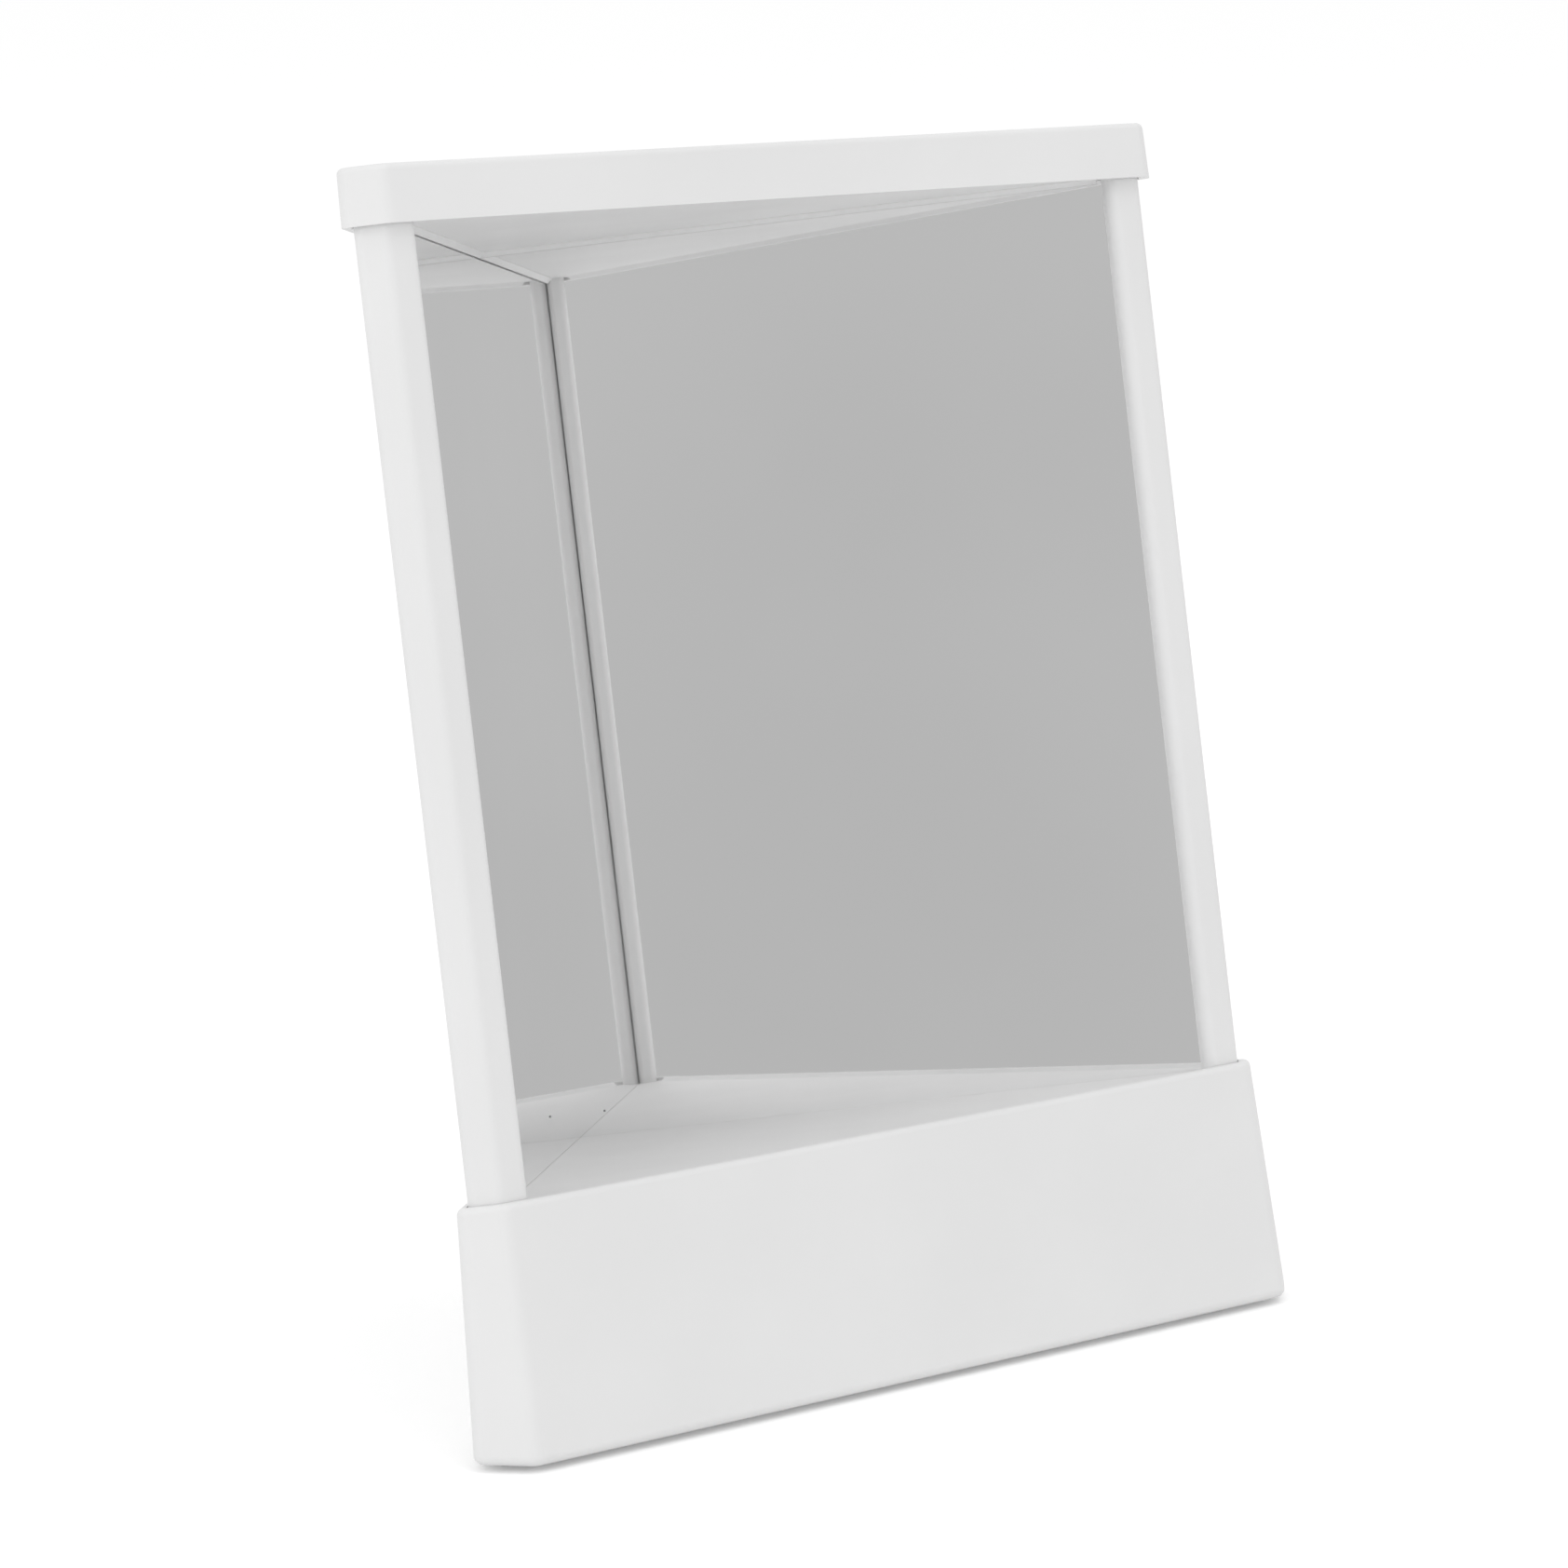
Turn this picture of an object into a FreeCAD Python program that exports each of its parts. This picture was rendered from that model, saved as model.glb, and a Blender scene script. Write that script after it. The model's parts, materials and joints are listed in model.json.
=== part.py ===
import FreeCAD, Part
import os
import Sketcher

# A desk mirror that does not swap left and right: two panes meet at a right angle in a white case.
# Every piece is drawn upright, with X to the right, Y to the back and Z along the case, from the line
# where the panes meet and from the mirror's floor. At the end all pieces lean back together.

doc = FreeCAD.newDocument("DeskMirror")
sheet = doc.addObject("Spreadsheet::Sheet", "Size")

# Driving dimensions, in millimetres and degrees
sizes = {
    # Stance
    "lean": 10.0,
    # Mirror panes and the tape behind them
    "pane_width": 108.1,
    "pane_thickness": 3.0,
    "cavity_height": 151.0,
    "pane_top_gap": 0.3,
    "pane_edge_gap": 0.2,
    "groove_depth": 0.5,
    "groove_gap": 0.04,
    "tape_thickness": 0.4,
    "tape_width": 14.0,
    "tape_margin": 12.0,
    "tape_inset": 16.0,
    # Rear housing: walls, posts and their lips
    "wall": 2.2,
    "lip_cover": 2.4,
    "lip_gap": 0.02,
    "lip_depth": 4.435,
    "lip_taper": 1.925,
    "lip_radius": 1.6,
    "lip_root_radius": 0.8,
    "post_wall": 3.9,
    "post_radius": 1.6,
    "post_corner_radius": 2.0,
    "tab_width": 16.0,
    "tab_from_apex": 40.0,
    "tab_gap": 0.15,
    # Screws into the posts
    "post_screw_diameter": 2.2,
    "post_screw_grip": 10.0,
    "post_screw_head": 3.4,
    "screw_head_height": 1.5,
    "screw_gap": 0.05,
    "screw_tip_gap": 1.0,
    "port_inset": 2.0,
    # Cap and ceiling
    "overhang": 2.0,
    "back_overhang": 1.6,
    "rim_gap": 0.2,
    "plate_thickness": 2.2,
    "rib_depth": 0.9,
    "rib_width": 1.0,
    "rib_gap": 0.3,
    "rib_slope": 0.75,
    "rib_end_gap": 0.3,
    "cap_height": 8.5,
    "cap_drop": 0.6,
    "cap_roof": 2.0,
    "cap_draft": 1.3,
    "cap_edge_radius": 1.0,
    "stud_diameter": 6.0,
    "stud_inset": 26.0,
    # Outline corners, shared by cap and base
    "corner_radius": 3.0,
    "side_radius": 2.0,
    "rear_radius": 2.5,
    # Base
    "base_height": 39.8,
    "base_draft": 2.4,
    "base_wall": 2.2,
    "base_edge_radius": 1.4,
    "rim_height": 0.6,
    "rim_edge_radius": 1.1,
    "sill_width": 1.3,
    "sill_end_gap": 0.3,
    "deck": 2.5,
    "boss_diameter": 7.5,
    "boss_inset": 13.0,
    "boss_rear_inset": 18.0,
    # Base cover, its screws and its feet
    "cover_thickness": 2.0,
    "cover_recess": 1.0,
    "cover_gap": 0.25,
    "cover_screw_diameter": 3.0,
    "cover_screw_head": 5.6,
    "cover_screw_grip": 10.0,
    "cover_screw_sink": 1.2,
    "foot_diameter": 12.0,
    "foot_gap": 0.2,
    "foot_seat": 0.6,
    "foot_proud": 1.0,
    "foot_inset": 8.0,
    # Ballast
    "ballast_length": 70.0,
    "ballast_width": 30.0,
    "ballast_thickness": 9.0,
    "ballast_gap": 4.0,
    "ballast_tape": 0.8,
    "ballast_tape_margin": 4.0,
}
for row, (name, value) in enumerate(sizes.items(), start=1):
    sheet.set(f"A{row}", name)
    sheet.set(f"B{row}", str(value))
    sheet.setAlias(f"B{row}", name)
doc.recompute()

# Sizes that follow from the driving ones, as expressions.
# Along means from the apex along a pane; behind means square to the pane's mirror face.
lip_along = "(Size.pane_width - Size.lip_cover)"
channel_along = "(Size.pane_width + Size.pane_edge_gap)"
post_along = f"({channel_along} + Size.post_wall)"
wall_inside = "(Size.pane_thickness + Size.tape_thickness)"
wall_outside = f"({wall_inside} + Size.wall)"
post_front = f"({lip_along} / sqrt(2) + Size.lip_depth)"
cap_front = f"({post_front} + Size.overhang)"
cap_along = f"({post_along} + Size.overhang)"
cap_behind = f"({wall_outside} + Size.back_overhang)"
plate_top = "(Size.cavity_height + Size.plate_thickness)"
cap_top = "(Size.cavity_height + Size.cap_height)"
cap_bottom = "(Size.cavity_height - Size.cap_drop)"
base_depth = "(Size.base_height + Size.rim_height)"
base_front = f"({cap_front} + {base_depth} * tan(Size.base_draft))"
cover_top = "(Size.cover_recess + Size.cover_thickness)"
ballast_bottom = f"({cover_top} + Size.ballast_tape)"
inner_front = f"({cap_front} - Size.base_wall)"
inner_behind = f"({cap_behind} - Size.base_wall)"
ballast_front = f"(({base_front} - {inner_front}) / cos(Size.lean) + Size.ballast_gap)"


def number(expression):
    return float(sheet.evalExpression(expression))


def at(along, behind, side=1):
    # A plan point from its place along a pane and behind its face; side is 1 right, -1 left
    return f"{side} * ({along} + {behind}) / sqrt(2)", f"({behind} - {along}) / sqrt(2)"


def outline(front, along, behind):
    # The three-cornered plan with its two front corners cut square to the panes
    corner = f"({along} * sqrt(2) - {front})"
    right = at(along, behind)
    left = at(along, behind, -1)
    rear = ("0", f"{behind} * sqrt(2)")
    return [(corner, f"-{front}"), right, rear, left, (f"-{corner}", f"-{front}")]


def grown_outline(grow):
    # The cap's outline, moved out by the given expression
    return outline(f"({cap_front} + {grow})", f"({cap_along} + {grow})", f"({cap_behind} + {grow})")


def case_outline(gap="0"):
    # The housing's outer outline, moved out by a gap
    return outline(f"({post_front} + {gap})", f"({post_along} + {gap})", f"({wall_outside} + {gap})")


def corner_strip(near, far, end):
    # A strip along both panes, between two distances behind their faces
    inside = [at(end, near), ("0", f"{near} * sqrt(2)"), at(end, near, -1)]
    return inside + [at(end, far, -1), ("0", f"{far} * sqrt(2)"), at(end, far)]


def new_body(label):
    body = doc.addObject("PartDesign::Body", label)
    body.Label = label
    return body


def new_sketch(body, plane_role="XY_Plane"):
    sketch = body.newObject("Sketcher::SketchObject", body.Label + "_sketch")
    plane = [feature for feature in body.Origin.OriginFeatures if feature.Role == plane_role][0]
    sketch.AttachmentSupport = [(plane, "")]
    sketch.MapMode = "FlatFace"
    return sketch


def level_sketch(body, height):
    # A sketch square to the case, at a height above the mirror's floor
    sketch = new_sketch(body)
    sketch.setExpression("AttachmentOffset.Base.z", height)
    return sketch


def ground_sketch(body, height):
    # A sketch level with the table, at a height above the base's lower edge; Y counts from that edge
    sketch = new_sketch(body)
    tilt = FreeCAD.Rotation(FreeCAD.Vector(1, 0, 0), 1)
    sketch.AttachmentOffset = FreeCAD.Placement(FreeCAD.Vector(), tilt)
    sketch.setExpression("AttachmentOffset.Base.y", f"-{base_front} - {height} * sin(Size.lean)")
    sketch.setExpression("AttachmentOffset.Base.z", f"-Size.base_height + {height} * cos(Size.lean)")
    sketch.setExpression("AttachmentOffset.Rotation.Angle", "Size.lean")
    return sketch


def tie_point(sketch, edge, end, x, y):
    # Bind one point of a sketch to its two expressions
    for kind, expression in (("DistanceX", x), ("DistanceY", y)):
        constraint = Sketcher.Constraint(kind, -1, 1, edge, end, number(expression))
        index = sketch.addConstraint(constraint)
        sketch.renameConstraint(index, f"{kind}{edge}")
        sketch.setExpression(f"Constraints.{kind}{edge}", expression)


def draw_polygon(sketch, points):
    first = sketch.GeometryCount
    corners = [FreeCAD.Vector(number(x), number(y), 0) for x, y in points]
    count = len(points)
    for index in range(count):
        line = Part.LineSegment(corners[index], corners[(index + 1) % count])
        sketch.addGeometry(line, False)
    for index in range(count):
        following = first + (index + 1) % count
        sketch.addConstraint(Sketcher.Constraint("Coincident", first + index, 2, following, 1))
    for index, (x, y) in enumerate(points):
        tie_point(sketch, first + index, 1, x, y)


def draw_circles(sketch, centres, diameter):
    for x, y in centres:
        middle = FreeCAD.Vector(number(x), number(y), 0)
        circle = Part.Circle(middle, FreeCAD.Vector(0, 0, 1), number(diameter) / 2)
        edge = sketch.addGeometry(circle, False)
        tie_point(sketch, edge, 3, x, y)
        index = sketch.addConstraint(Sketcher.Constraint("Diameter", edge, number(diameter)))
        sketch.renameConstraint(index, f"Diameter{edge}")
        sketch.setExpression(f"Constraints.Diameter{edge}", diameter)


def pad(body, sketch, length, down=False, both_ways=False):
    feature = body.newObject("PartDesign::Pad", body.Label + "_pad")
    feature.Profile = sketch
    feature.setExpression("Length", length)
    feature.Reversed = down
    if both_ways:
        feature.SideType = "Symmetric"
    finish_feature(body, feature, grows=True)
    return feature


def pocket(body, sketch, length, up=False):
    feature = body.newObject("PartDesign::Pocket", body.Label + "_pocket")
    feature.Profile = sketch
    feature.setExpression("Length", length)
    feature.Reversed = up
    finish_feature(body, feature, grows=False)
    return feature


def slice_off(body, sketch):
    # Cut away everything that a side-view sketch covers, right across the piece
    feature = body.newObject("PartDesign::Pocket", body.Label + "_slice")
    feature.Profile = sketch
    feature.SideType = "Symmetric"
    feature.Type = "ThroughAll"
    finish_feature(body, feature, grows=False)
    return feature


def finish_feature(body, feature, grows):
    # Recompute, and stop where a feature adds or cuts nothing
    before = feature.BaseFeature.Shape.Volume if feature.BaseFeature else 0
    sketch = feature.Profile[0]
    sketch.Visibility = False
    doc.recompute()
    change = feature.Shape.Volume - before
    if (change > 0) != grows:
        raise RuntimeError(f"{feature.Label} changes the volume by {change}")


def chosen_edges(body, edges):
    shape = body.Tip.Shape
    return [f"Edge{index}" for index, edge in enumerate(shape.Edges, start=1) if edges(edge)]


def fillet(body, edges, radius):
    base = body.Tip
    names = chosen_edges(body, edges)
    feature = body.newObject("PartDesign::Fillet", body.Label + "_fillet")
    feature.Base = (base, names)
    feature.setExpression("Radius", radius)
    doc.recompute()
    return feature


def chamfer(body, edges, size):
    base = body.Tip
    names = chosen_edges(body, edges)
    feature = body.newObject("PartDesign::Chamfer", body.Label + "_chamfer")
    feature.Base = (base, names)
    feature.setExpression("Size", size)
    doc.recompute()
    return feature


def draft_sides(body, angle, neutral):
    # Give the upright faces a draft that widens downwards and turns about a level plane
    base = body.Tip
    names = []
    for index, face in enumerate(base.Shape.Faces, start=1):
        if abs(face.normalAt(0, 0).z) < 0.5:
            names.append(f"Face{index}")
    datum = body.newObject("PartDesign::Plane", body.Label + "_neutral")
    plane = [feature for feature in body.Origin.OriginFeatures if feature.Role == "XY_Plane"][0]
    datum.AttachmentSupport = [(plane, "")]
    datum.MapMode = "FlatFace"
    datum.setExpression("AttachmentOffset.Base.z", neutral)
    doc.recompute()
    feature = body.newObject("PartDesign::Draft", body.Label + "_draft")
    feature.Base = (base, names)
    feature.NeutralPlane = (datum, [""])
    feature.setExpression("Angle", angle)
    doc.recompute()
    return feature


def upright_at(points):
    # Chooses the upright edges that start or end at the given plan points
    corners = [(number(x), number(y)) for x, y in points]

    def chosen(edge):
        ends = edge.Vertexes
        upright = len(ends) == 2 and abs(ends[0].Z - ends[1].Z) > 1
        return upright and any(stands_at(end, corner) for end in ends for corner in corners)
    return chosen


def stands_at(vertex, corner):
    return abs(vertex.X - corner[0]) < 0.01 and abs(vertex.Y - corner[1]) < 0.01


def level_at(height):
    # Chooses the edges that lie at one height
    def chosen(edge):
        box = edge.BoundBox
        return abs(box.ZMin - number(height)) < 0.01 and abs(box.ZMax - number(height)) < 0.01
    return chosen


def level_between(points, height):
    # Chooses the edges at one height that join two of the given plan points
    corners = [(number(x), number(y)) for x, y in points]

    def at_a_corner(vertex):
        return any(stands_at(vertex, corner) for corner in corners)

    def chosen(edge):
        return level_at(height)(edge) and all(at_a_corner(vertex) for vertex in edge.Vertexes)
    return chosen


def round_outline(body, points):
    # Round the two front corners, the two sides and the rear of a three-cornered plan
    front_right, right, rear, left, front_left = points
    fillet(body, upright_at([front_right, front_left]), "Size.corner_radius")
    fillet(body, upright_at([right, left]), "Size.side_radius")
    fillet(body, upright_at([rear]), "Size.rear_radius")


def ground_line(distance, height):
    # Side-view point from its distance behind the base's front edge and its height above the table
    y = f"{distance} * cos(Size.lean) - {height} * sin(Size.lean) - {base_front}"
    z = f"{distance} * sin(Size.lean) + {height} * cos(Size.lean) - Size.base_height"
    return y, z


reach = f"(2 * ({cap_front} + {base_depth}))"


def slice_below(body, height):
    sketch = new_sketch(body, "YZ_Plane")
    points = [ground_line(f"-{reach}", height), ground_line(reach, height)]
    points += [ground_line(reach, f"-{reach}"), ground_line(f"-{reach}", f"-{reach}")]
    draw_polygon(sketch, points)
    slice_off(body, sketch)


def slice_above(body, height):
    sketch = new_sketch(body, "YZ_Plane")
    points = [ground_line(f"-{reach}", height), ground_line(reach, height)]
    points += [ground_line(reach, reach), ground_line(f"-{reach}", reach)]
    draw_polygon(sketch, points)
    slice_off(body, sketch)


both_sides = (1, -1)
port_along = f"({post_along} - Size.port_inset)"
port_front = f"(-{post_front} + Size.port_inset)"
port_places = [(f"{side} * ({port_along} * sqrt(2) + {port_front})", port_front) for side in both_sides]
port_hole = "(Size.post_screw_diameter + 2 * Size.screw_gap)"
tab_end = "(Size.tab_from_apex + Size.tab_width)"


def front_corner(inset, side):
    # Place under the base, in from the front wall and from one rear wall
    front = f"({inner_front} - {inset})"
    x = f"{side} * (({inner_behind} - {inset}) * sqrt(2) + {front})"
    return x, f"({base_front} - {front}) / cos(Size.lean)"


def rear_corner(inset):
    # Place under the base, in from both rear walls
    return "0", f"({base_front} + ({inner_behind} - {inset}) * sqrt(2)) / cos(Size.lean)"


front_bosses = [front_corner("Size.boss_inset", side) for side in both_sides]
rear_boss = [rear_corner("Size.boss_rear_inset")]
boss_places = front_bosses + rear_boss
cover_screw_hole = "(Size.cover_screw_diameter + 2 * Size.screw_gap)"
foot_places = {
    "foot_front_left": front_corner("Size.foot_inset", -1),
    "foot_front_right": front_corner("Size.foot_inset", 1),
    "foot_rear": rear_corner("Size.foot_inset"),
}


def tab_polygon(side, gap="0"):
    return [
        at(f"(Size.tab_from_apex - {gap})", f"({wall_inside} - {gap})", side),
        at(f"({tab_end} + {gap})", f"({wall_inside} - {gap})", side),
        at(f"({tab_end} + {gap})", f"({wall_outside} + {gap})", side),
        at(f"(Size.tab_from_apex - {gap})", f"({wall_outside} + {gap})", side),
    ]


def add_sill(body, front, height, rise):
    # A low slope along the open front, between the posts, from a level towards the rim or the cap
    sketch = new_sketch(body, "YZ_Plane")
    foot = (f"Size.sill_width - {front}", height)
    draw_polygon(sketch, [(f"-{front}", height), foot, (f"-{front}", f"{height} + {rise}")])
    half = f"({lip_along} / sqrt(2) - Size.lip_taper - Size.sill_end_gap)"
    pad(body, sketch, f"2 * {half}", both_ways=True)


def make_rear_housing():
    # Two walls and two posts as one profile; each post's lip covers the front edge of its pane
    body = new_body("rear_housing")
    lip = f"({lip_along} / sqrt(2) - Size.lip_taper)"
    lip_tips = [(lip, f"-{post_front}"), (f"-{lip}", f"-{post_front}")]
    front_right, right, rear, left, front_left = case_outline()
    lip_roots = [at(lip_along, "-Size.lip_gap", side) for side in both_sides]
    points = [lip_tips[0], front_right, right, rear, left, front_left, lip_tips[1]]
    points += [lip_roots[1], at(channel_along, "-Size.lip_gap", -1)]
    points += [at(channel_along, wall_inside, -1), ("0", f"{wall_inside} * sqrt(2)")]
    points += [at(channel_along, wall_inside), at(channel_along, "-Size.lip_gap")]
    points += [lip_roots[0]]
    profile = level_sketch(body, "0")
    draw_polygon(profile, points)
    draw_circles(profile, port_places, port_hole)
    pad(body, profile, "Size.cavity_height")
    fillet(body, upright_at(lip_tips), "Size.lip_radius")
    fillet(body, upright_at(lip_roots), "Size.lip_root_radius")
    fillet(body, upright_at([right, rear, left]), "Size.post_radius")
    fillet(body, upright_at([front_right, front_left]), "Size.post_corner_radius")
    lower_tabs = level_sketch(body, "0")
    upper_tabs = level_sketch(body, "Size.cavity_height")
    for side in both_sides:
        draw_polygon(lower_tabs, tab_polygon(side))
        draw_polygon(upper_tabs, tab_polygon(side))
    pad(body, lower_tabs, "Size.deck", down=True)
    pad(body, upper_tabs, "Size.plate_thickness")
    return body


def make_mirror_pane(label, side):
    # A glass pane that stands in the floor's groove, mitred so that the two mirror faces meet in one line
    body = new_body(label)
    sketch = level_sketch(body, "-Size.groove_depth")
    points = [("0", "0"), at("Size.pane_width", "0", side)]
    points += [at("Size.pane_width", "Size.pane_thickness", side), ("0", "Size.pane_thickness * sqrt(2)")]
    draw_polygon(sketch, points)
    pad(body, sketch, "Size.groove_depth + Size.cavity_height - Size.pane_top_gap")
    return body


def make_pane_tape(label, side, start):
    # An upright strip of double-sided tape between a pane and its wall
    body = new_body(label)
    sketch = level_sketch(body, "Size.tape_margin")
    end = f"({start} + Size.tape_width)"
    points = [at(start, "Size.pane_thickness", side), at(end, "Size.pane_thickness", side)]
    points += [at(end, wall_inside, side), at(start, wall_inside, side)]
    draw_polygon(sketch, points)
    pad(body, sketch, "Size.cavity_height - Size.pane_top_gap - 2 * Size.tape_margin")
    return body


def make_ceiling_plate():
    # Lies on the housing's top end and takes its tabs; a rib below keeps both panes from tipping forward
    body = new_body("ceiling_plate")
    sketch = level_sketch(body, "Size.cavity_height")
    draw_polygon(sketch, case_outline())
    draw_circles(sketch, port_places, port_hole)
    pad(body, sketch, "Size.plate_thickness")
    notches = level_sketch(body, plate_top)
    for side in both_sides:
        draw_polygon(notches, tab_polygon(side, "Size.tab_gap"))
    pocket(body, notches, "Size.plate_thickness")
    rib = level_sketch(body, "Size.cavity_height")
    rib_far = "(-Size.rib_gap - Size.rib_width)"
    rib_points = corner_strip("(-Size.rib_gap)", rib_far, f"({lip_along} - Size.rib_end_gap)")
    draw_polygon(rib, rib_points)
    pad(body, rib, "Size.rib_depth", down=True)
    chamfer(body, level_between(rib_points[3:], "Size.cavity_height - Size.rib_depth"), "Size.rib_slope")
    add_sill(body, post_front, "Size.cavity_height", "-Size.cap_drop")
    return body


def make_cap_shell():
    # A hollow cap that pushes over the ceiling plate and stands on it by three studs
    body = new_body("cap_shell")
    points = grown_outline("0")
    sketch = level_sketch(body, cap_bottom)
    draw_polygon(sketch, points)
    pad(body, sketch, "Size.cap_height + Size.cap_drop")
    draft_sides(body, "Size.cap_draft", cap_bottom)
    round_outline(body, points)
    fillet(body, level_at(cap_top), "Size.cap_edge_radius")
    hollow = level_sketch(body, cap_bottom)
    draw_polygon(hollow, case_outline("Size.rim_gap"))
    pocket(body, hollow, "Size.cap_height + Size.cap_drop - Size.cap_roof", up=True)
    studs = level_sketch(body, plate_top)
    stud_front = f"-({post_front} - Size.stud_inset)"
    stud_side = f"({post_along} * sqrt(2) - {post_front} - Size.stud_inset)"
    stud_places = [(stud_side, stud_front), (f"-{stud_side}", stud_front), ("0", "-Size.stud_inset")]
    draw_circles(studs, stud_places, "Size.stud_diameter")
    pad(body, studs, "Size.cap_height - Size.plate_thickness - Size.cap_roof / 2")
    return body


def make_base_shell():
    # The wedge-shaped base: the mirror's floor with a groove for the panes, a low rim round the case,
    # walls and three bosses
    body = new_body("base_shell")
    points = grown_outline("0")
    sketch = level_sketch(body, "Size.rim_height")
    draw_polygon(sketch, points)
    pad(body, sketch, base_depth, down=True)
    draft_sides(body, "Size.base_draft", "Size.rim_height")
    round_outline(body, points)
    fillet(body, level_at("Size.rim_height"), "Size.rim_edge_radius")
    slice_below(body, "0")
    fillet(body, on_ground, "Size.base_edge_radius")
    recess = level_sketch(body, "Size.rim_height")
    draw_polygon(recess, case_outline("Size.rim_gap"))
    pocket(body, recess, "Size.rim_height")
    add_sill(body, f"({post_front} + Size.rim_gap)", "0", "Size.rim_height")
    groove = level_sketch(body, "0")
    draw_polygon(groove, corner_strip("(-Size.groove_gap)", wall_inside, channel_along))
    pocket(body, groove, "Size.groove_depth")
    hollow = level_sketch(body, "-Size.deck")
    draw_polygon(hollow, grown_outline("-Size.base_wall"))
    pocket(body, hollow, "Size.base_height")
    middle_of_deck = "((Size.base_height - Size.deck / 2) / cos(Size.lean))"
    for places in (front_bosses, rear_boss):
        bosses = ground_sketch(body, cover_top)
        draw_circles(bosses, places, "Size.boss_diameter")
        distance = places[0][1]
        pad(body, bosses, f"{middle_of_deck} - {distance} * tan(Size.lean) - {cover_top}")
    bores = ground_sketch(body, cover_top)
    draw_circles(bores, boss_places, cover_screw_hole)
    pocket(body, bores, "Size.cover_screw_grip + Size.screw_tip_gap", up=True)
    through = level_sketch(body, "0")
    draw_circles(through, port_places, port_hole)
    for side in both_sides:
        draw_polygon(through, tab_polygon(side, "Size.tab_gap"))
    pocket(body, through, "Size.deck")
    return body


def on_ground(edge):
    # Chooses the edges in the plane that the base stands on
    lean = number("Size.lean")
    turn = FreeCAD.Rotation(FreeCAD.Vector(1, 0, 0), -lean)
    foot = turn.multVec(FreeCAD.Vector(0, -number(base_front), -number("Size.base_height"))).z
    heights = [turn.multVec(vertex.Point).z for vertex in edge.Vertexes]
    return all(abs(height - foot) < 0.01 for height in heights)


def make_base_cover():
    # Closes the base from below, with sunk seats for three screws and three feet
    body = new_body("base_cover")
    sketch = level_sketch(body, "-Size.deck")
    draw_polygon(sketch, grown_outline("(-Size.base_wall - Size.cover_gap)"))
    pad(body, sketch, "Size.base_height", down=True)
    slice_below(body, "Size.cover_recess")
    slice_above(body, cover_top)
    holes = ground_sketch(body, "Size.cover_recess")
    draw_circles(holes, boss_places, cover_screw_hole)
    pocket(body, holes, "Size.cover_thickness", up=True)
    sinks = ground_sketch(body, "Size.cover_recess")
    draw_circles(sinks, boss_places, "(Size.cover_screw_head + 2 * Size.cover_gap)")
    pocket(body, sinks, "Size.cover_screw_sink", up=True)
    seats = ground_sketch(body, "Size.cover_recess")
    draw_circles(seats, foot_places.values(), "(Size.foot_diameter + 2 * Size.foot_gap)")
    pocket(body, seats, "Size.foot_seat", up=True)
    return body


def make_cover_screws():
    # Three screws with flat heads, sunk into the cover and driven up into the bosses
    body = new_body("cover_screws")
    heads = ground_sketch(body, "Size.cover_recess")
    draw_circles(heads, boss_places, "Size.cover_screw_head")
    pad(body, heads, "Size.cover_screw_sink")
    shanks = ground_sketch(body, "(Size.cover_recess + Size.cover_screw_sink)")
    draw_circles(shanks, boss_places, "Size.cover_screw_diameter")
    pad(body, shanks, "Size.cover_thickness - Size.cover_screw_sink + Size.cover_screw_grip")
    return body


def make_post_screws():
    # Two screws driven up through the base's deck into the posts
    body = new_body("post_screws")
    heads = level_sketch(body, "-Size.deck")
    draw_circles(heads, port_places, "Size.post_screw_head")
    pad(body, heads, "Size.screw_head_height", down=True)
    shanks = level_sketch(body, "-Size.deck")
    draw_circles(shanks, port_places, "Size.post_screw_diameter")
    pad(body, shanks, "Size.deck + Size.post_screw_grip")
    return body


def make_ceiling_screws():
    # Two screws driven down through the ceiling plate into the posts
    body = new_body("ceiling_screws")
    heads = level_sketch(body, plate_top)
    draw_circles(heads, port_places, "Size.post_screw_head")
    pad(body, heads, "Size.screw_head_height")
    shanks = level_sketch(body, plate_top)
    draw_circles(shanks, port_places, "Size.post_screw_diameter")
    pad(body, shanks, "Size.plate_thickness + Size.post_screw_grip", down=True)
    return body


def make_foot(label, place):
    # A rubber pad in its seat under the cover, standing a little below the base's edge
    body = new_body(label)
    sketch = ground_sketch(body, "-Size.foot_proud")
    draw_circles(sketch, [place], "Size.foot_diameter")
    pad(body, sketch, "Size.foot_proud + Size.cover_recess + Size.foot_seat")
    return body


def make_ballast(label, height, margin, thickness):
    # A plate near the front edge of the cover, smaller than the weight by a margin all round
    body = new_body(label)
    sketch = ground_sketch(body, height)
    half = f"(Size.ballast_length / 2 - {margin})"
    front = f"({ballast_front} + {margin})"
    back = f"({ballast_front} + Size.ballast_width - {margin})"
    draw_polygon(sketch, [(f"-{half}", front), (half, front), (half, back), (f"-{half}", back)])
    pad(body, sketch, thickness)
    return body


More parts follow.
